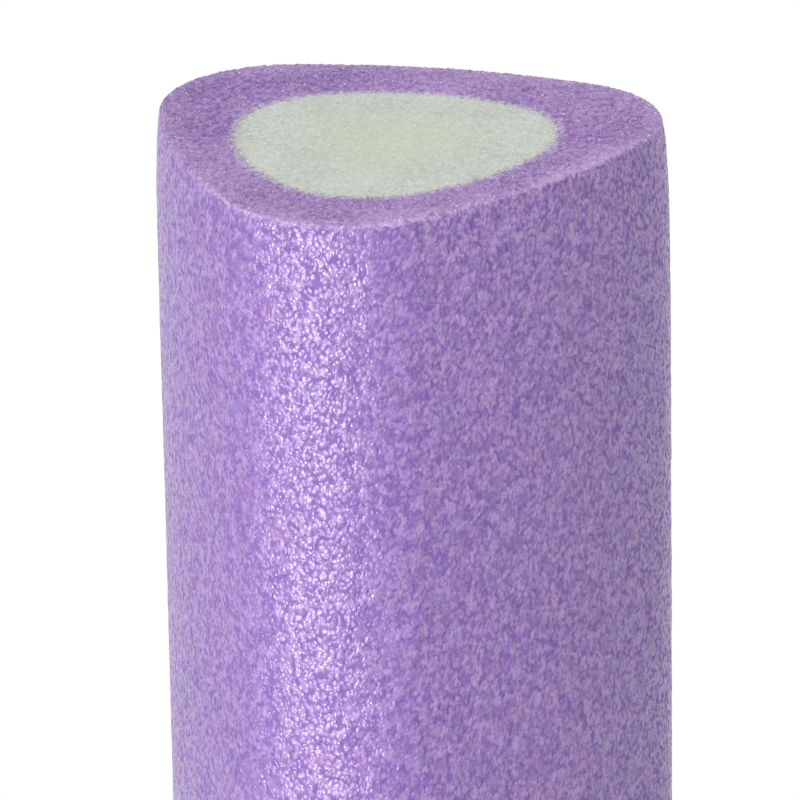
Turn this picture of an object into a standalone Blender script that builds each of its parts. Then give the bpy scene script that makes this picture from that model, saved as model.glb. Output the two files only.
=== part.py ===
"""Pool noodle: a solid foam float whose jacket and core are extruded together in two colours.

It stands on its lower end. Units are metres, +Z is up, and the origin is on the jacket's axis
at the lower end. One of the section's three corners points to -Y.
"""

import math

import bmesh
import bpy

MM = 0.001

# The whole noodle
LENGTH = 1400 * MM

# The jacket's section, a triangle with round corners and bowed sides
JACKET_CORNER_CENTRE = 25.0 * MM
JACKET_CORNER_RADIUS = 23.0 * MM
JACKET_SIDE_RADIUS = 120 * MM
CUT_EDGE_RADIUS = 2.2 * MM

# The core's section, the same form but rounder, lies a little off the jacket's axis
CORE_CORNER_CENTRE = 10.8 * MM
CORE_CORNER_RADIUS = 18.1 * MM
CORE_SIDE_RADIUS = 43.5 * MM
CORE_SHIFT_X = 0.6 * MM
CORE_SHIFT_Y = -3.4 * MM

# The two foams meet face to face, and this thin gap keeps their solids apart
FOAM_GAP = 0.3 * MM
CUTTER_OVERRUN = 10 * MM

# Facets of the round stretches
CORNER_STEPS = 16
SIDE_STEPS = 8
CUT_EDGE_STEPS = 4
SHARP_ANGLE = math.radians(40)

# The section repeats at each corner, starting with the one at -Y
CORNERS = 3
CORNER_PITCH = math.tau / CORNERS
FIRST_CORNER = -math.pi / 2

# Colours as linear RGB
PURPLE = (0.32, 0.20, 0.50, 1.0)
PALE_GREEN = (0.58, 0.635, 0.545, 1.0)


def clear_scene():
    for obj in list(bpy.data.objects):
        bpy.data.objects.remove(obj)


def new_collection(name):
    collection = bpy.data.collections.new(name)
    bpy.context.scene.collection.children.link(collection)
    return collection


def foam_material(name, colour, roughness):
    material = bpy.data.materials.new(name)
    material.use_nodes = True
    shader = material.node_tree.nodes["Principled BSDF"]
    shader.inputs["Base Color"].default_value = colour
    shader.inputs["Roughness"].default_value = roughness
    shader.inputs["Metallic"].default_value = 0.0
    material.diffuse_color = colour
    return material


def arc(centre, radius, middle, half_angle, steps):
    """Points of an arc that runs anticlockwise through the direction middle, ends included."""
    points = []
    for step in range(steps + 1):
        angle = middle + half_angle * (2 * step / steps - 1)
        x = centre[0] + radius * math.cos(angle)
        y = centre[1] + radius * math.sin(angle)
        points.append((x, y))
    return points


def polar(radius, angle):
    return radius * math.cos(angle), radius * math.sin(angle)


def round_triangle(corner_centre, corner_radius, side_radius, grow=0.0):
    """Outline of corner arcs joined by long side arcs that run into them without a kink.

    The side arcs' centres lie across the axis from their sides, as far out as makes each side
    arc touch its two corner arcs. The outline stands grow outside the given radii.
    """
    half_pitch = CORNER_PITCH / 2
    half_chord = corner_centre * math.sin(half_pitch)
    chord_out = corner_centre * math.cos(half_pitch)
    across = math.sqrt((side_radius - corner_radius) ** 2 - half_chord**2)
    side_half = math.atan2(half_chord, across)
    corner_half = half_pitch - side_half
    outline = []
    for corner in range(CORNERS):
        at_corner = FIRST_CORNER + corner * CORNER_PITCH
        at_side = at_corner + half_pitch
        corner_middle = polar(corner_centre, at_corner)
        side_middle = polar(chord_out - across, at_side)
        outline += arc(corner_middle, corner_radius + grow, at_corner, corner_half, CORNER_STEPS)
        outline += arc(side_middle, side_radius + grow, at_side, side_half, SIDE_STEPS)[1:-1]
    return outline


def extruded_bar(name, outline, length, collection):
    """A mesh bar with this section, centred on its own origin, from a filled 2D curve."""
    curve = bpy.data.curves.new(name, "CURVE")
    curve.dimensions = "2D"
    curve.fill_mode = "BOTH"
    curve.extrude = length / 2
    spline = curve.splines.new("POLY")
    spline.points.add(len(outline) - 1)
    for point, (x, y) in zip(spline.points, outline):
        point.co = (x, y, 0, 1)
    spline.use_cyclic_u = True
    guide = bpy.data.objects.new(name + "_outline", curve)
    collection.objects.link(guide)

    graph = bpy.context.evaluated_depsgraph_get()
    mesh = bpy.data.meshes.new_from_object(guide.evaluated_get(graph))
    matrix = guide.matrix_world.copy()
    bpy.data.objects.remove(guide)
    weld = bmesh.new()
    weld.from_mesh(mesh)
    bmesh.ops.remove_doubles(weld, verts=weld.verts, dist=0.01 * MM)
    weld.to_mesh(mesh)
    weld.free()
    mesh.name = name
    mesh.shade_smooth()
    mesh.set_sharp_from_angle(angle=SHARP_ANGLE)

    bar = bpy.data.objects.new(name, mesh)
    bar.matrix_world = matrix
    collection.objects.link(bar)
    return bar


def build_core(collection, material):
    outline = round_triangle(CORE_CORNER_CENTRE, CORE_CORNER_RADIUS, CORE_SIDE_RADIUS)
    core = extruded_bar("inner_core", outline, LENGTH, collection)
    core.location = (CORE_SHIFT_X, CORE_SHIFT_Y, LENGTH / 2)
    core.data.materials.append(material)
    return core


def build_jacket(collection, cutters, material):
    outline = round_triangle(JACKET_CORNER_CENTRE, JACKET_CORNER_RADIUS, JACKET_SIDE_RADIUS)
    jacket = extruded_bar("outer_jacket", outline, LENGTH, collection)
    jacket.location.z = LENGTH / 2
    jacket.data.materials.append(material)

    rounding = jacket.modifiers.new("cut_edges", "BEVEL")
    rounding.width = CUT_EDGE_RADIUS
    rounding.segments = CUT_EDGE_STEPS
    rounding.limit_method = "ANGLE"
    rounding.angle_limit = SHARP_ANGLE

    bore_outline = round_triangle(
        CORE_CORNER_CENTRE, CORE_CORNER_RADIUS, CORE_SIDE_RADIUS, grow=FOAM_GAP
    )
    bore = extruded_bar("core_bore", bore_outline, LENGTH + 2 * CUTTER_OVERRUN, cutters)
    bore.location = (CORE_SHIFT_X, CORE_SHIFT_Y, LENGTH / 2)
    bore.hide_render = True
    bore.display_type = "WIRE"

    hollow = jacket.modifiers.new("core_bore", "BOOLEAN")
    hollow.operation = "DIFFERENCE"
    hollow.object = bore
    return jacket


def main():
    clear_scene()
    noodle = new_collection("pool_noodle")
    cutters = new_collection("cutters")
    build_jacket(noodle, cutters, foam_material("purple_foam", PURPLE, roughness=0.45))
    build_core(noodle, foam_material("pale_green_foam", PALE_GREEN, roughness=0.8))


main()
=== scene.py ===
"""Looks of the pool noodle: its foam surfaces as fine meshes, its materials, light and camera.

Metres, +Z up, in the same frame as the CAD model: the noodle stands on its lower end, and one of
its section's three corners points to -Y.
"""

import math

import bpy
import numpy as np
from mathutils import Euler, Matrix, Vector, noise


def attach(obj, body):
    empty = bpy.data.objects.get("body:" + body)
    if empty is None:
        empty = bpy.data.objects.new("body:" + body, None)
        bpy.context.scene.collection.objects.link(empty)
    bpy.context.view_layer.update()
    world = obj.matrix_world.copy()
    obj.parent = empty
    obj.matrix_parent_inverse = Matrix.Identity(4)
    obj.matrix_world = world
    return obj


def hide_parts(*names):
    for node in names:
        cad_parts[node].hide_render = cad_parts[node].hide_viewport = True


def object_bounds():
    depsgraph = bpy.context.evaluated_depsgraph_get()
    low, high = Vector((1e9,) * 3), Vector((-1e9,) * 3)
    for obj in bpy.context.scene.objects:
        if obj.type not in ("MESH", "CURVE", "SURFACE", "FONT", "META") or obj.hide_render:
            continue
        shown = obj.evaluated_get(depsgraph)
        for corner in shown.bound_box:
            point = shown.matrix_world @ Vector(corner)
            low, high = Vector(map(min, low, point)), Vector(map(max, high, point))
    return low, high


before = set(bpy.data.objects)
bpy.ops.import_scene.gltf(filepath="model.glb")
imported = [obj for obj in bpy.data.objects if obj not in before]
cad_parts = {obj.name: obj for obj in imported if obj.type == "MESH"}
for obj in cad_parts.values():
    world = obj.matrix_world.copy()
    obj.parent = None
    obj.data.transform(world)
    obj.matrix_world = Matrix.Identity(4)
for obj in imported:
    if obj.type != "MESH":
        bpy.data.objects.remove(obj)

CAD_LOW, CAD_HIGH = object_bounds()

MM = 0.001

# The noodle
LENGTH = CAD_HIGH.z - CAD_LOW.z
JACKET_SECTION = dict(centre=25.0 * MM, corner=23.0 * MM, side=120 * MM)
CORE_SECTION = dict(centre=10.8 * MM, corner=18.1 * MM, side=43.5 * MM)
CORE_SHIFT = np.array((0.6, -3.4)) * MM

# The solids' gap between the two foams, which each mesh grows into to leave a thinner seam
FOAM_GAP = 0.3 * MM
SEAM_GAP = 0.02 * MM
SEAM_GROW = (FOAM_GAP - SEAM_GAP) / 2

# The section repeats at each corner, starting with the one at -Y
CORNERS = 3
CORNER_PITCH = math.tau / CORNERS
FIRST_CORNER = -math.pi / 2

# No length of foam is quite straight: it sways this far, this many times
SWAY = np.array((-1.0, -1.2)) * MM
SWAYS = 3

# The saw leaves a rounded rim, and the skin above the cut is drawn in
RIM_IN = 1.0 * MM
RIM_DOWN = 1.1 * MM
DRAWN_IN = 1.2 * MM
DRAWN_IN_FADE = 7 * MM
DRAWN_IN_DEPTH = 2 * DRAWN_IN_FADE

# The two foams' cells interlock along the seam
SEAM_WANDER = 0.3 * MM
SEAM_WANDER_LENGTH = 1.5 * MM

# Mesh spacing along the surface, finest at the upper end and coarsest halfway down
END_SPACING = 0.32 * MM
LOW_END_SPACING = 0.8 * MM
WALL_SPACING = 1.3 * MM
FAR_WALL_SPACING = 14 * MM
FAR_WALL_COLUMNS = 3 * WALL_SPACING
FINE_WALL_LENGTH = 112 * MM
SEAM_COUNT = 120
SEAM_ROW_SPACING = 50 * MM
HUB_RADIUS_SHARE = 0.01
HUB_COUNT = 6

# Camera
CAMERA_AZIMUTH = math.radians(15.97)
CAMERA_ELEVATION = math.radians(20.72)
CAMERA_ROLL = math.radians(-1.34)
CAMERA_DISTANCE = 1.267
CAMERA_LENS_MM = 335.7
SENSOR_WIDTH_MM = 36
AIM_BELOW_TOP = 47.8 * MM
AIM_RIGHT = 0.6 * MM

# The background, which shows as white and lights the scene with an even grey of this level
WHITE = (1, 1, 1, 1)
WORLD_LEVEL = 0.42

# The floor
FLOOR_COLOUR = (0.85, 0.85, 0.85, 1)
FLOOR_ROUGHNESS = 0.9
FLOOR_RADIUS = 1.6
FLOOR_VERTICES = 128
FLOOR_FADE_FROM = 0.3
FLOOR_FADE_TO = 1.3
FLOOR_CONTACT = 2 * MM

# Lamps, with azimuths from -Y towards +X, all aimed at the upper end
KEY = dict(azimuth=-21, elevation=-11, distance=2.0, size=(0.6, 1.1), level=1.12)
TOP = dict(azimuth=-31, elevation=75, distance=2.0, size=(1.2, 1.2), level=0.45)
FILL = dict(azimuth=80, elevation=20, distance=3.0, size=(3.0, 2.5), level=0.4)


def arc_points(centre_radius, centre_angle, radius, angle):
    x = centre_radius * np.cos(centre_angle) + radius * np.cos(angle)
    y = centre_radius * np.sin(centre_angle) + radius * np.sin(angle)
    return np.stack([x, y], 1)


def section(shares, centre, corner, side, grow=0.0):
    """Points and outward normals of a round-cornered triangle, by share of the way round.

    Share 0 is the tip of the corner at -Y, and the way round is anticlockwise. The corner arcs
    run into the long side arcs without a kink.
    """
    half_pitch = CORNER_PITCH / 2
    half_chord = centre * math.sin(half_pitch)
    across = math.sqrt((side - corner) ** 2 - half_chord**2)
    side_half = math.atan2(half_chord, across)
    corner_half = half_pitch - side_half
    corner_way = corner * corner_half
    side_way = side * 2 * side_half
    sector_way = 2 * corner_way + side_way

    sector, within = np.divmod(np.asarray(shares) * CORNERS, 1.0)
    way = within * sector_way
    at_corner = FIRST_CORNER + sector * CORNER_PITCH
    at_side = at_corner + half_pitch
    at_next = at_corner + CORNER_PITCH
    leaving = at_corner + way / corner
    passing = at_side - side_half + (way - corner_way) / side
    arriving = at_next - (sector_way - way) / corner
    side_centre = centre * math.cos(half_pitch) - across

    on_side = (way >= corner_way) & (way <= corner_way + side_way)
    arrived = way > corner_way + side_way
    angle = np.where(on_side, passing, np.where(arrived, arriving, leaving))
    centre_angle = np.where(on_side, at_side, np.where(arrived, at_next, at_corner))
    centre_radius = np.where(on_side, side_centre, centre)
    radius = np.where(on_side, side, corner) + grow
    points = arc_points(centre_radius, centre_angle, radius, angle)
    normals = np.stack([np.cos(angle), np.sin(angle)], 1)
    return points, normals, CORNERS * sector_way


def jacket_outline(shares, grow=0.0):
    points, normals, _ = section(shares, grow=grow, **JACKET_SECTION)
    return points, normals


def core_outline(shares, grow=0.0):
    points, normals, _ = section(shares, grow=grow, **CORE_SECTION)
    return points + CORE_SHIFT, normals


def seam_outline(shares, grow, top):
    """The core's outline at an end, where the two foams' cells interlock."""
    points, normals = core_outline(shares, grow)
    layer = LENGTH if top else 0.0
    wander = [
        noise.noise(Vector((x, y, layer)) / SEAM_WANDER_LENGTH) for x, y in core_outline(shares)[0]
    ]
    return points + normals * (SEAM_WANDER * np.array(wander))[:, None]


def drawn_in(depth):
    """How far the wall stands inside its full section at this depth below the cut."""
    return DRAWN_IN * math.exp(-depth / DRAWN_IN_FADE)


JACKET_WAY = section([0.0], **JACKET_SECTION)[2]
CORE_WAY = section([0.0], **CORE_SECTION)[2]


# A distance that stands for no seam or rim nearby
FAR = 1.0


class RingMesh:
    """A mesh made of rings of points, each joined to the one before by a band of triangles.

    Every point has three values for the relief and the materials: how far its surface is a saw
    cut, from 0 to 1, and its distances from the seam and from the rim.
    """

    LABELS = ("cut_share", "seam_distance", "rim_distance")

    def __init__(self):
        self.points = []
        self.normals = []
        self.values = {label: [] for label in self.LABELS}
        self.rings = []
        self.faces = []
        self.total = 0

    def add(self, points, normals, values):
        self.points.append(points)
        self.normals.append(normals)
        for label, value in zip(self.LABELS, values):
            self.values[label].append(np.broadcast_to(value, len(points)))
        self.total += len(points)

    def ring(self, count, place, staggered=True):
        """Adds a ring. place(shares) gives its points, normals and labelled values."""
        stagger = 0.5 * (len(self.rings) % 2) if staggered else 0.0
        shares = (np.arange(count) + stagger) / count
        self.rings.append((self.total, shares))
        self.add(*place(shares))
        if len(self.rings) > 1:
            self.band(self.rings[-2], self.rings[-1])

    def band(self, first, second):
        """Triangles between two rings, taken in turn by their shares of the way round."""
        (a0, a_shares), (b0, b_shares) = first, second
        a_count, b_count = len(a_shares), len(b_shares)
        a = b = 0
        while a < a_count or b < b_count:
            a_next = a_shares[a + 1] if a + 1 < a_count else 1 + a_shares[a + 1 - a_count]
            b_next = b_shares[b + 1] if b + 1 < b_count else 1 + b_shares[b + 1 - b_count]
            here, there = a0 + a % a_count, b0 + b % b_count
            if b >= b_count or (a < a_count and a_next <= b_next):
                self.faces.append((here, a0 + (a + 1) % a_count, there))
                a += 1
            else:
                self.faces.append((here, b0 + (b + 1) % b_count, there))
                b += 1

    def close_on_itself(self):
        self.band(self.rings[-1], self.rings[0])

    def close_with_point(self, ring, point, normal, values, ahead):
        start, shares = self.rings[ring]
        for i in range(len(shares)):
            pair = (start + i, start + (i + 1) % len(shares))
            self.faces.append((*(pair if ahead else pair[::-1]), self.total))
        self.add(np.array([point]), np.array([normal]), values)

    def build(self, name, relief):
        values = {}
        for label, parts in self.values.items():
            values[label] = np.concatenate(parts).astype(float)
        points = relief(np.concatenate(self.points), np.concatenate(self.normals), values)
        mesh = bpy.data.meshes.new(name)
        mesh.from_pydata(points.tolist(), [], self.faces)
        mesh.shade_smooth()
        for label, value in values.items():
            attribute = mesh.attributes.new(label, "FLOAT", "POINT")
            attribute.data.foreach_set("value", value.astype(np.float32))
        mesh.validate()
        mesh.update()
        obj = bpy.data.objects.new(name, mesh)
        bpy.context.scene.collection.objects.link(obj)
        return obj


def lifted(flat, z):
    return np.concatenate([flat, np.full((len(flat), 1), z)], 1)


def tilted(normals, up):
    """Horizontal normals tilted up by an angle."""
    rising = np.concatenate([normals * math.cos(up), np.zeros((len(normals), 1))], 1)
    rising[:, 2] = math.sin(up)
    return rising


def facing(count, top):
    return np.tile((0.0, 0.0, 1.0 if top else -1.0), (count, 1))


def graded(start, stop, first_step, last_step):
    """Values from start to stop whose steps grow evenly from first_step to last_step."""
    span = abs(stop - start)
    steps = max(2, round(2 * span / (first_step + last_step)))
    sizes = np.linspace(first_step, last_step, steps)
    ways = np.concatenate([[0], np.cumsum(sizes)]) * span / sizes.sum()
    return start + np.sign(stop - start) * ways


def evenly(start, stop, spacing):
    return np.linspace(start, stop, max(2, round(abs(stop - start) / spacing) + 1))


def build_jacket():
    mesh = RingMesh()

    def wall(depth, top, count):
        def place(shares):
            flat, normals = jacket_outline(shares, -drawn_in(depth))
            z = LENGTH - depth if top else depth
            return lifted(flat, z), tilted(normals, 0), (0.0, FAR, depth)
        mesh.ring(count, place)

    def rim(turn, top, count):
        """A ring of the rounded rim, at turn radians from the wall towards the end face."""
        depth = RIM_DOWN * (1 - math.sin(turn))
        inset = RIM_IN * (1 - math.cos(turn)) + drawn_in(depth)

        def place(shares):
            flat, normals = jacket_outline(shares, -inset)
            z = LENGTH - depth if top else depth
            share = turn / (math.pi / 2)
            up = turn if top else -turn
            return lifted(flat, z), tilted(normals, up), (share, FAR, 0.0)
        mesh.ring(count, place)

    def annulus(inward, top, count, staggered):
        """A ring of the end face, inward being its share of the way from the rim to the seam."""
        def place(shares):
            outer, _ = jacket_outline(shares, -RIM_IN - drawn_in(0))
            inner = seam_outline(shares, FOAM_GAP - SEAM_GROW, top)
            flat = outer + (inner - outer) * inward
            width = np.linalg.norm(inner - outer, axis=1)
            values = (1.0, width * (1 - inward), width * inward)
            return lifted(flat, LENGTH if top else 0.0), facing(len(shares), top), values
        mesh.ring(count, place, staggered)

    def bore(z):
        def place(shares):
            flat, normals = core_outline(shares, FOAM_GAP - SEAM_GROW)
            return lifted(flat, z), tilted(-normals, 0), (1.0, 0.0, FAR)
        mesh.ring(SEAM_COUNT, place, staggered=False)

    def end_face(top, spacing, outwards):
        outer_count = round(JACKET_WAY / spacing)
        inner_count = round(CORE_WAY / spacing)
        depth = (JACKET_WAY - CORE_WAY) / math.tau
        rows = evenly(0, 1, spacing / depth)
        for inward in (rows[::-1] if outwards else rows):
            count = round(outer_count + (inner_count - outer_count) * inward)
            annulus(inward, top, count, staggered=inward < 1)

    def cut_edge(top, spacing, outwards):
        turns = evenly(0, math.pi / 2, spacing / RIM_DOWN)[1:-1]
        for turn in (turns[::-1] if outwards else turns):
            rim(turn, top, round(JACKET_WAY / spacing))

    low_depths = graded(RIM_DOWN, LENGTH / 2, LOW_END_SPACING, FAR_WALL_SPACING)
    rim_depths = graded(RIM_DOWN, DRAWN_IN_DEPTH, END_SPACING, WALL_SPACING)
    top_depths = evenly(DRAWN_IN_DEPTH, FINE_WALL_LENGTH, WALL_SPACING)[1:]
    far_depths = graded(FINE_WALL_LENGTH, LENGTH / 2, WALL_SPACING, FAR_WALL_SPACING)[1:-1]

    def wall_count(depth, near_step):
        steps = (near_step, max(near_step, WALL_SPACING), WALL_SPACING, FAR_WALL_COLUMNS)
        depths = (0, DRAWN_IN_DEPTH, FINE_WALL_LENGTH, LENGTH / 2)
        return round(JACKET_WAY / np.interp(depth, depths, steps))

    cut_edge(False, LOW_END_SPACING, outwards=True)
    for depth in low_depths:
        wall(depth, False, wall_count(depth, LOW_END_SPACING))
    for depth in np.concatenate([rim_depths, top_depths, far_depths])[::-1]:
        wall(depth, True, wall_count(depth, END_SPACING))
    cut_edge(True, END_SPACING, outwards=False)
    end_face(True, END_SPACING, outwards=False)
    for z in evenly(LENGTH, 0, SEAM_ROW_SPACING)[1:-1]:
        bore(z)
    end_face(False, LOW_END_SPACING, outwards=True)
    mesh.close_on_itself()
    return mesh.build("jacket_foam", foam_relief)


def build_core():
    mesh = RingMesh()

    def disc(outward, top, count, staggered):
        def place(shares):
            flat = seam_outline(shares, SEAM_GROW, top)
            width = np.linalg.norm(flat - CORE_SHIFT, axis=1)
            flat = CORE_SHIFT + (flat - CORE_SHIFT) * outward
            values = (1.0, width * (1 - outward), FAR)
            return lifted(flat, LENGTH if top else 0.0), facing(len(shares), top), values
        mesh.ring(count, place, staggered)

    def side(z):
        def place(shares):
            flat, normals = core_outline(shares, SEAM_GROW)
            return lifted(flat, z), tilted(normals, 0), (1.0, 0.0, FAR)
        mesh.ring(SEAM_COUNT, place, staggered=False)

    def end_face(top, spacing, outwards):
        rows = evenly(HUB_RADIUS_SHARE, 1, spacing / (CORE_WAY / math.tau))
        for outward in (rows if outwards else rows[::-1]):
            count = max(HUB_COUNT, round(outward * CORE_WAY / spacing))
            disc(outward, top, count, staggered=outward < 1)

    end_face(False, LOW_END_SPACING, outwards=True)
    for z in evenly(0, LENGTH, SEAM_ROW_SPACING)[1:-1]:
        side(z)
    end_face(True, END_SPACING, outwards=False)
    hub_values = (1.0, CORE_SECTION["corner"], FAR)
    mesh.close_with_point(-1, (*CORE_SHIFT, LENGTH), (0, 0, 1), hub_values, ahead=True)
    mesh.close_with_point(0, (*CORE_SHIFT, 0), (0, 0, -1), hub_values, ahead=False)
    return mesh.build("core_foam", core_relief)


# Noise patterns are turned, so that their grid doesn't run along the noodle
GRAIN_TILT = (0.6, 0.8, 0.4)
GRAIN_TURN = Euler(GRAIN_TILT).to_matrix()

# Relief of the surfaces: heights and sizes of its features, whose crests lie at full size
SKIN_CREST = 0.22 * MM
CUT_CREST = 0.18 * MM
SEAM_FLUSH = 1.5 * MM
SKIN_DIMPLE = 0.1 * MM
SKIN_DIMPLE_SIZE = Vector((2.0, 2.0, 3.0)) * MM
SKIN_WAVE = 0.15 * MM
SKIN_WAVE_SIZE = Vector((30, 30, 70)) * MM
CUT_CELL_SIZE = 0.85 * MM
CUT_WALL_SLOPE = 1.6
CUT_PIT = 0.30 * MM
CUT_FUZZ = 0.16 * MM
CUT_FUZZ_SIZE = 0.5 * MM
CORE_PIT = 0.12 * MM
CORE_FUZZ = 0.06 * MM

# The saw drew the cells out along Y, by one over this
SAW_DRAG = 0.6


def divided(place, size):
    return GRAIN_TURN @ Vector((place.x / size.x, place.y / size.y, place.z / size.z))


def skin_height(place):
    dimple = SKIN_DIMPLE * noise.noise(divided(place, SKIN_DIMPLE_SIZE))
    return dimple + SKIN_WAVE * noise.noise(divided(place, SKIN_WAVE_SIZE))


def cut_height(place, pit, fuzz):
    """Height of a sawn foam surface, where walls stand up between the cells."""
    turned = GRAIN_TURN @ Vector((place.x, place.y * SAW_DRAG, place.z))
    distances, _ = noise.voronoi(turned / CUT_CELL_SIZE)
    wall = max(0.0, 1.0 - CUT_WALL_SLOPE * (distances[1] - distances[0]))
    return pit * (wall - 0.5) + fuzz * noise.noise(turned / CUT_FUZZ_SIZE)


def relief(points, normals, values, pit, fuzz):
    """Moves the points along their normals, and lets the whole length sway.

    Points between the two foams lie on a cut but don't face up or down, and get no relief.
    """
    moved = points.copy()
    for i, point in enumerate(points):
        cut = values["cut_share"][i]
        between_foams = cut == 1.0 and abs(normals[i][2]) < 0.5
        if not between_foams:
            place = Vector(point)
            height = 0.0
            if cut < 1.0:
                height += (1 - cut) * (skin_height(place) - SKIN_CREST)
            if cut > 0.0:
                worn = min(1.0, values["seam_distance"][i] / SEAM_FLUSH)
                height += cut * (worn * cut_height(place, pit, fuzz) - CUT_CREST)
            moved[i] = point + normals[i] * height
    phase = points[:, 2] / LENGTH * SWAYS * math.tau
    moved[:, :2] += SWAY * ((1 - np.cos(phase)) / 2)[:, None]
    return moved


def foam_relief(points, normals, values):
    return relief(points, normals, values, CUT_PIT, CUT_FUZZ)


def core_relief(points, normals, values):
    return relief(points, normals, values, CORE_PIT, CORE_FUZZ)


class Nodes:
    """Short calls that build the node tree of a material or the world."""

    def __init__(self, owner):
        owner.use_nodes = True
        self.tree = owner.node_tree
        self.shader = self.tree.nodes.get("Principled BSDF")

    def add(self, kind, inputs=None, out=0, **settings):
        node = self.tree.nodes.new("ShaderNode" + kind)
        for key, value in settings.items():
            setattr(node, key, value)
        for key, value in (inputs or {}).items():
            if isinstance(value, bpy.types.NodeSocket):
                self.tree.links.new(value, node.inputs[key])
            else:
                node.inputs[key].default_value = value
        return node.outputs[out]

    def math(self, operation, a, b):
        return self.add("Math", {0: a, 1: b}, operation=operation)

    def relief(self, *terms):
        """Sum of (value, height) pairs, each swinging about its own middle."""
        centred = ((self.math("SUBTRACT", value, 0.5), height) for value, height in terms)
        return self.total(*centred)

    def total(self, *terms):
        """Sum of (value, weight) pairs."""
        result = None
        for value, weight in terms:
            term = self.math("MULTIPLY", value, weight)
            result = self.math("ADD", result, term) if result else term
        return result

    def attribute(self, name):
        return self.add("Attribute", out="Fac", attribute_name=name)

    def cells(self, place, size):
        """Distance from the nearest cell's middle, in cell sizes."""
        return self.add("TexVoronoi", {"Vector": place, "Scale": 1 / size}, "Distance")

    def shaken(self, place, size, reach):
        """The place moved about by a noise, to make a regular pattern irregular."""
        shift = self.add("TexNoise", {"Vector": place, "Scale": 1 / size, "Detail": 1.0}, "Color")
        centred = self.add("VectorMath", {0: shift, 1: (0.5, 0.5, 0.5)}, operation="SUBTRACT")
        reaches = (reach, reach, reach)
        scaled = self.add("VectorMath", {0: centred, 1: reaches}, operation="MULTIPLY")
        return self.add("VectorMath", {0: place, 1: scaled})

    def noise(self, place, size, detail=2.0, roughness=0.5):
        inputs = {"Vector": place, "Scale": 1 / size, "Detail": detail, "Roughness": roughness}
        return self.add("TexNoise", inputs, "Fac")

    def remap(self, value, low, high, to_low=0.0, to_high=1.0, smooth=True):
        kind = "SMOOTHSTEP" if smooth else "LINEAR"
        inputs = {"Value": value, 1: low, 2: high, 3: to_low, 4: to_high}
        return self.add("MapRange", inputs, interpolation_type=kind)

    def mix(self, factor, a, b):
        """Colour a at factor 0, b at factor 1."""
        node = self.tree.nodes.new("ShaderNodeMix")
        node.data_type = "RGBA"
        for key, value in (("Factor_Float", factor), ("A_Color", a), ("B_Color", b)):
            socket = next(s for s in node.inputs if s.identifier == key)
            if isinstance(value, bpy.types.NodeSocket):
                self.tree.links.new(value, socket)
            else:
                socket.default_value = value
        return next(s for s in node.outputs if s.identifier == "Result_Color")

    def stretched(self, scale):
        """The place on the object, turned as the relief's is, after scaling its axes."""
        place = self.add("TexCoord", out="Object")
        return self.add("Mapping", {"Vector": place, "Scale": scale, "Rotation": GRAIN_TILT})

    def bump(self, height):
        """The normal of a surface with this relief, its height in metres."""
        return self.add("Bump", {"Height": height, "Distance": 1.0, "Strength": 1.0})

    def light_path(self):
        """The Light Path node's outputs, and a mask of the rays that see a white background."""
        path = self.tree.nodes.new("ShaderNodeLightPath").outputs
        reflected = self.math("MAXIMUM", path["Is Glossy Ray"], path["Is Transmission Ray"])
        return path, self.math("MAXIMUM", path["Is Camera Ray"], reflected)

    def surface(self, shader):
        output = next(node for node in self.tree.nodes if node.type.startswith("OUTPUT"))
        self.tree.links.new(shader, output.inputs["Surface"])

    def set(self, **values):
        for key, value in values.items():
            socket = self.shader.inputs[key.replace("_", " ")]
            if isinstance(value, bpy.types.NodeSocket):
                self.tree.links.new(value, socket)
            else:
                socket.default_value = value


# The foam was drawn out along its length, so its patterns are taller than they are wide
CELL_STRETCH = 0.95
DOME_STRETCH = 0.83

# The skin: glossy domes over the cells, dull valleys between them, in a slow swell
SKIN_CELL = 0.74 * MM
SKIN_CELL_HEIGHT = 0.15 * MM
DOME_REACH = 0.8
RUFFLE_SIZE = 1.5 * MM
RUFFLE = 0.8 * MM
WRINKLE_SIZE = 0.42 * MM
WRINKLE_HEIGHT = 0.18 * MM
SKIN_SWELL = 3.2 * MM
SKIN_SWELL_HEIGHT = 0.64 * MM
SKIN_ROUGHNESS = 0.22
VALLEY_ROUGHNESS = 0.8
VALLEY_UNDER = 0.05
DOME_OVER = 0.7
SKIN_SPECULAR = 1.0

# Noise with plenty of fine detail
FINE_GRAIN = dict(detail=4, roughness=0.75)
FRAYED = dict(detail=4, roughness=0.8)

# Its colour: a fine mottle in purples and a slow change of hue, with the dome tops paler and
# painted shade in the valleys between them
TONE_GRAIN = 1.8 * MM
HUE_PATCH = 3.5 * MM
TONE_GRAIN_SHARE = 0.78
VALLEY_SHADE_SHARE = 0.13
TONE_MIDDLE = 0.493
TONE_SPAN = 0.155
HUE_SHARE = 0.38
HUE_MIDDLE = 0.5
BLUE_FULL = 0.3
PINK_FULL = 0.7
SKIN_DARK = (0.15, 0.064, 0.32, 1)
SKIN_LIGHT = (0.338, 0.202, 0.475, 1)
SKIN_PINK = (0.30, 0.15, 0.38, 1)
SKIN_BLUE = (0.27, 0.18, 0.43, 1)

# The sawn ends: torn cell walls, finer and duller than the skin, with a few painted glints
CUT_GRAIN = 0.9 * MM
CUT_GRAIN_HEIGHT = 0.16 * MM
CUT_SLOW_PATCH = 9 * MM
CUT_SLOW_SHARE = 0.25
CUT_MIDDLE = 0.675
CUT_SPAN = 0.3
CUT_ROUGHNESS = 0.8
GLINT_SIZE = 0.32 * MM
GLINT_FROM = 0.70
GLINT_TO = 0.80
CUT_DARK = (0.155, 0.06, 0.30, 1)
CUT_LIGHT = (0.46, 0.30, 0.60, 1)
CUT_GLINT = (0.74, 0.62, 0.80, 1)

# The end is darker towards its corner at -X
DARK_CORNER_FROM = -24 * MM
DARK_CORNER_TO = -38 * MM
DARK_CORNER_AMOUNT = 0.065
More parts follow.
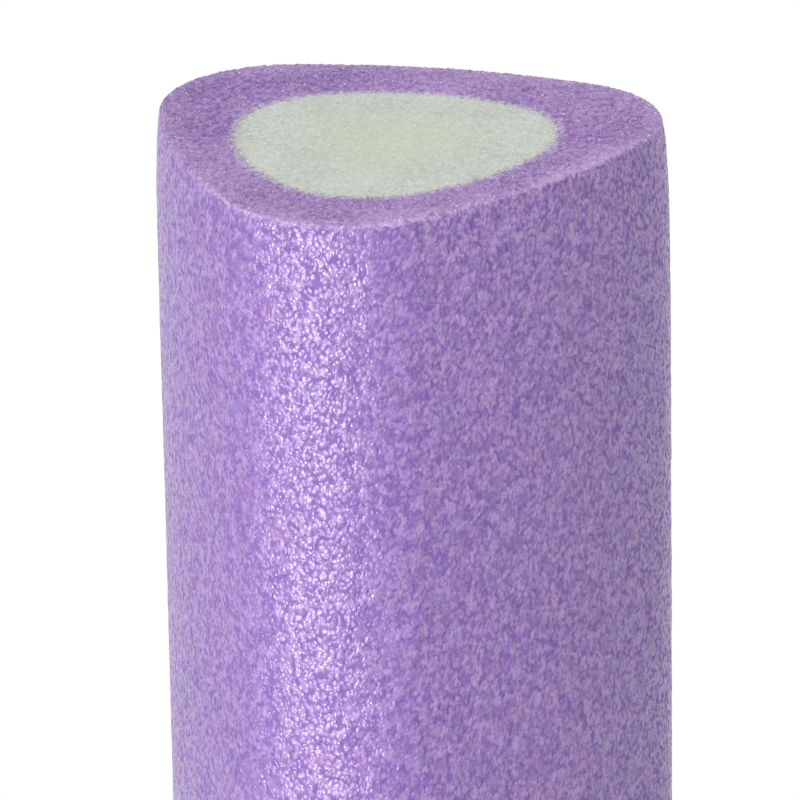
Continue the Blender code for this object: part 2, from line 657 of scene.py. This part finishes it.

# Towards the rim the cut is paler, partly the torn cells' own colour and partly a painted sheen
# where the rounded rim catches light, and it has more painted glints
RIM_TORN_AND_SHEEN = (0.62, 0.46, 0.68, 1)
RIM_TORN_AND_SHEEN_SHARE = 0.17
RIM_TORN_AND_SHEEN_TO = 5 * MM
RIM_PAINTED_GLINTS = 0.15

# The core's sawn end, warmer towards its middle
CORE_SPECULAR = 0.5
CORE_SPAN = 0.28
CORE_DARK = (0.48, 0.53, 0.47, 1)
CORE_LIGHT = (0.66, 0.69, 0.63, 1)
CORE_GLINT = (0.84, 0.87, 0.82, 1)
CORE_WARM = (0.60, 0.68, 0.48, 1)
CORE_WARM_FROM = 8 * MM
CORE_WARM_TO = 20 * MM
CORE_WARM_SHARE = 0.4

# The rim, where the skin ends at the saw cut, in turns of the rim plus the grain
CUT_FROM = 0.1
CUT_TO = 0.5
CUT_RAGGED = 1.5

# Where the two foams meet, their cells interlock
SEAM_GRAIN = 0.6 * MM
SEAM_FRAY = 8.0 * MM
SEAM_BLUR = 1.3 * MM


def spanned(n, value, middle, span):
    return n.remap(value, middle - span / 2, middle + span / 2, smooth=False)


def skin_look(n):
    """Colour, roughness and height of the jacket's own skin."""
    place = n.stretched((1, 1, CELL_STRETCH))
    tall = n.stretched((1, 1, DOME_STRETCH))
    from_top = n.cells(n.shaken(tall, RUFFLE_SIZE, RUFFLE), SKIN_CELL)
    edge = n.remap(from_top, 0.0, DOME_REACH, smooth=False)
    dome = n.math("SUBTRACT", 1.0, n.math("POWER", edge, 2.0))
    wrinkle = n.noise(tall, WRINKLE_SIZE, detail=2, roughness=0.6)
    swell = n.noise(tall, SKIN_SWELL, detail=1)
    height = n.relief(
        (dome, SKIN_CELL_HEIGHT), (wrinkle, WRINKLE_HEIGHT), (swell, SKIN_SWELL_HEIGHT)
    )
    roughness = n.remap(dome, VALLEY_UNDER, DOME_OVER, VALLEY_ROUGHNESS, SKIN_ROUGHNESS)

    grain = n.noise(place, TONE_GRAIN, **FINE_GRAIN)
    # The domes' share paints shade into the valleys between them
    tone = n.total((dome, VALLEY_SHADE_SHARE), (grain, TONE_GRAIN_SHARE))
    colour = n.mix(spanned(n, tone, TONE_MIDDLE, TONE_SPAN), SKIN_DARK, SKIN_LIGHT)
    hue = n.noise(place, HUE_PATCH, detail=2)
    colour = n.mix(n.remap(hue, HUE_MIDDLE, PINK_FULL, 0.0, HUE_SHARE), colour, SKIN_PINK)
    colour = n.mix(n.remap(hue, BLUE_FULL, HUE_MIDDLE, HUE_SHARE, 0.0), colour, SKIN_BLUE)
    return colour, roughness, height


def sawn_look(n, into_jacket):
    """Colour and height of a sawn end on either side of the seam.

    into_jacket is 1 in the jacket's material and -1 in the core's, so both foams' colours run
    through the seam unbroken.
    """
    place = n.stretched((1, SAW_DRAG, 1))
    grain = n.noise(place, CUT_GRAIN, **FINE_GRAIN)
    patch = n.noise(place, CUT_SLOW_PATCH, detail=1)
    # How far in from the rim the painted sheen and the paler torn cells reach
    torn_and_sheen = n.remap(n.attribute("rim_distance"), 0.0, RIM_TORN_AND_SHEEN_TO, RIM_TORN_AND_SHEEN_SHARE, 0.0)
    # Sparse specks where a pale glint colour is painted in, as painted highlights
    glitter = n.total((n.noise(place, GLINT_SIZE, detail=0), 1.0), (torn_and_sheen, RIM_PAINTED_GLINTS))
    glint = n.remap(glitter, GLINT_FROM, GLINT_TO)
    across = n.add("SeparateXYZ", {0: n.add("TexCoord", out="Object")}, "X")
    # The end's colour grows darker towards its corner at -X
    clear_of_dark_corner = n.remap(across, DARK_CORNER_TO, DARK_CORNER_FROM)
    tone = n.total((grain, 1.0), (patch, CUT_SLOW_SHARE), (clear_of_dark_corner, DARK_CORNER_AMOUNT))
    from_seam = n.math("MULTIPLY", n.attribute("seam_distance"), into_jacket)

    purple = n.mix(spanned(n, tone, CUT_MIDDLE, CUT_SPAN), CUT_DARK, CUT_LIGHT)
    # Painted sheen along the rim, over the torn cells' paler colour
    purple = n.mix(torn_and_sheen, purple, RIM_TORN_AND_SHEEN)
    # Painted glints on the jacket's cut
    purple = n.mix(glint, purple, CUT_GLINT)
    green = n.mix(spanned(n, tone, CUT_MIDDLE, CORE_SPAN), CORE_DARK, CORE_LIGHT)
    warmth = n.remap(from_seam, -CORE_WARM_TO, -CORE_WARM_FROM, CORE_WARM_SHARE, 0.0)
    green = n.mix(warmth, green, CORE_WARM)
    # Painted glints on the core
    green = n.mix(glint, green, CORE_GLINT)

    fray = n.math("SUBTRACT", n.noise(place, SEAM_GRAIN, **FRAYED), 0.5)
    side = n.remap(n.total((from_seam, 1.0), (fray, SEAM_FRAY)), -SEAM_BLUR, SEAM_BLUR)
    return n.mix(side, green, purple), n.relief((grain, CUT_GRAIN_HEIGHT))


def foam_material(name, into_jacket):
    material = bpy.data.materials.new(name)
    n = Nodes(material)
    colour, height = sawn_look(n, into_jacket)
    roughness = CUT_ROUGHNESS
    if into_jacket > 0:
        skin_colour, skin_roughness, skin_height = skin_look(n)
        edge = n.total((n.attribute("cut_share"), 1.0), (height, CUT_RAGGED / CUT_GRAIN_HEIGHT))
        is_cut = n.remap(edge, CUT_FROM, CUT_TO)
        colour = n.mix(is_cut, skin_colour, colour)
        roughness = n.add("Mix", {0: is_cut, 2: skin_roughness, 3: roughness})
        height = n.add("Mix", {0: is_cut, 2: skin_height, 3: height})
    n.set(
        Base_Color=colour,
        Roughness=roughness,
        Specular_IOR_Level=SKIN_SPECULAR if into_jacket > 0 else CORE_SPECULAR,
        Normal=n.bump(height),
    )
    return material


def build_world():
    """Lights the scene with an even grey, and shows white to the camera and in reflections."""
    world = bpy.data.worlds.new("studio")
    bpy.context.scene.world = world
    n = Nodes(world)
    _, seen = n.light_path()
    grey = n.add("Background", {"Color": WHITE, "Strength": WORLD_LEVEL})
    white = n.add("Background", {"Color": WHITE, "Strength": 1.0})
    n.surface(n.add("MixShader", {0: seen, 1: grey, 2: white}))


def build_floor():
    """Pale paper that keeps the shadow and fades to the white background.

    It is clear from below and to light that reaches a face resting on it, so that the lower end
    shows in a view from underneath.
    """
    bpy.ops.mesh.primitive_circle_add(
        vertices=FLOOR_VERTICES, radius=FLOOR_RADIUS, fill_type="NGON"
    )
    floor = bpy.context.object
    floor.name = "floor"
    material = bpy.data.materials.new("floor_paper")
    n = Nodes(material)
    n.set(Base_Color=FLOOR_COLOUR, Roughness=FLOOR_ROUGHNESS)
    place = n.add("TexCoord", out="Object")
    outwards = n.add("VectorMath", {0: place}, out="Value", operation="LENGTH")
    path, seen = n.light_path()
    faded = n.math("MULTIPLY", seen, n.remap(outwards, FLOOR_FADE_FROM, FLOOR_FADE_TO))
    white = n.add("Emission", {"Color": WHITE, "Strength": 1.0})
    paper = n.add("MixShader", {0: faded, 1: n.shader.outputs[0], 2: white})
    below = n.add("NewGeometry", out="Backfacing")
    resting = n.math("LESS_THAN", path["Ray Length"], FLOOR_CONTACT)
    clear = n.math("MAXIMUM", below, resting)
    n.surface(n.add("MixShader", {0: clear, 1: paper, 2: n.add("BsdfTransparent")}))
    floor.data.materials.append(material)


def way_back(azimuth, elevation):
    """The way from the noodle to a camera or lamp, its azimuth counted from -Y towards +X."""
    x = math.sin(azimuth) * math.cos(elevation)
    y = -math.cos(azimuth) * math.cos(elevation)
    return Vector((x, y, math.sin(elevation)))


def area_light(name, azimuth, elevation, distance, size, level, aim):
    """A panel that lights a white surface facing it at aim to this level."""
    lamp = bpy.data.lights.new(name, "AREA")
    lamp.shape = "RECTANGLE"
    lamp.size, lamp.size_y = size
    lamp.energy = level * math.pi**2 * distance**2
    obj = bpy.data.objects.new(name, lamp)
    bpy.context.scene.collection.objects.link(obj)
    back = way_back(math.radians(azimuth), math.radians(elevation))
    obj.location = aim + back * distance
    obj.rotation_mode = "QUATERNION"
    obj.rotation_quaternion = (-back).to_track_quat("-Z", "Y")
    obj.visible_camera = False


def build_lights():
    aim = Vector((0, 0, LENGTH))
    area_light("key", aim=aim, **KEY)
    area_light("top", aim=aim, **TOP)
    area_light("fill", aim=aim, **FILL)


def build_camera():
    data = bpy.data.cameras.new("camera")
    data.lens = CAMERA_LENS_MM
    data.sensor_width = SENSOR_WIDTH_MM
    camera = bpy.data.objects.new("camera", data)
    bpy.context.scene.collection.objects.link(camera)
    back = way_back(CAMERA_AZIMUTH, CAMERA_ELEVATION)
    right = Vector((math.cos(CAMERA_AZIMUTH), math.sin(CAMERA_AZIMUTH), 0))
    up = back.cross(right)
    rolled_right = right * math.cos(CAMERA_ROLL) + up * math.sin(CAMERA_ROLL)
    rolled_up = up * math.cos(CAMERA_ROLL) - right * math.sin(CAMERA_ROLL)
    aim = Vector((0, 0, LENGTH - AIM_BELOW_TOP)) + right * AIM_RIGHT
    turn = Matrix((rolled_right, rolled_up, back)).transposed()
    camera.matrix_world = Matrix.Translation(aim + back * CAMERA_DISTANCE) @ turn.to_4x4()
    bpy.context.scene.camera = camera


def main():
    bpy.context.scene.view_settings.view_transform = "Standard"
    build_camera()
    build_world()
    build_lights()
    build_floor()

    jacket = build_jacket()
    jacket.data.materials.append(foam_material("purple_foam", 1))
    core = build_core()
    core.data.materials.append(foam_material("pale_green_foam", -1))
    for piece, node, slot in (
        (jacket, "outer_jacket", "purple_foam"),
        (core, "inner_core", "pale_green_foam"),
    ):
        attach(piece, "root")
        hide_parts(node)


main()
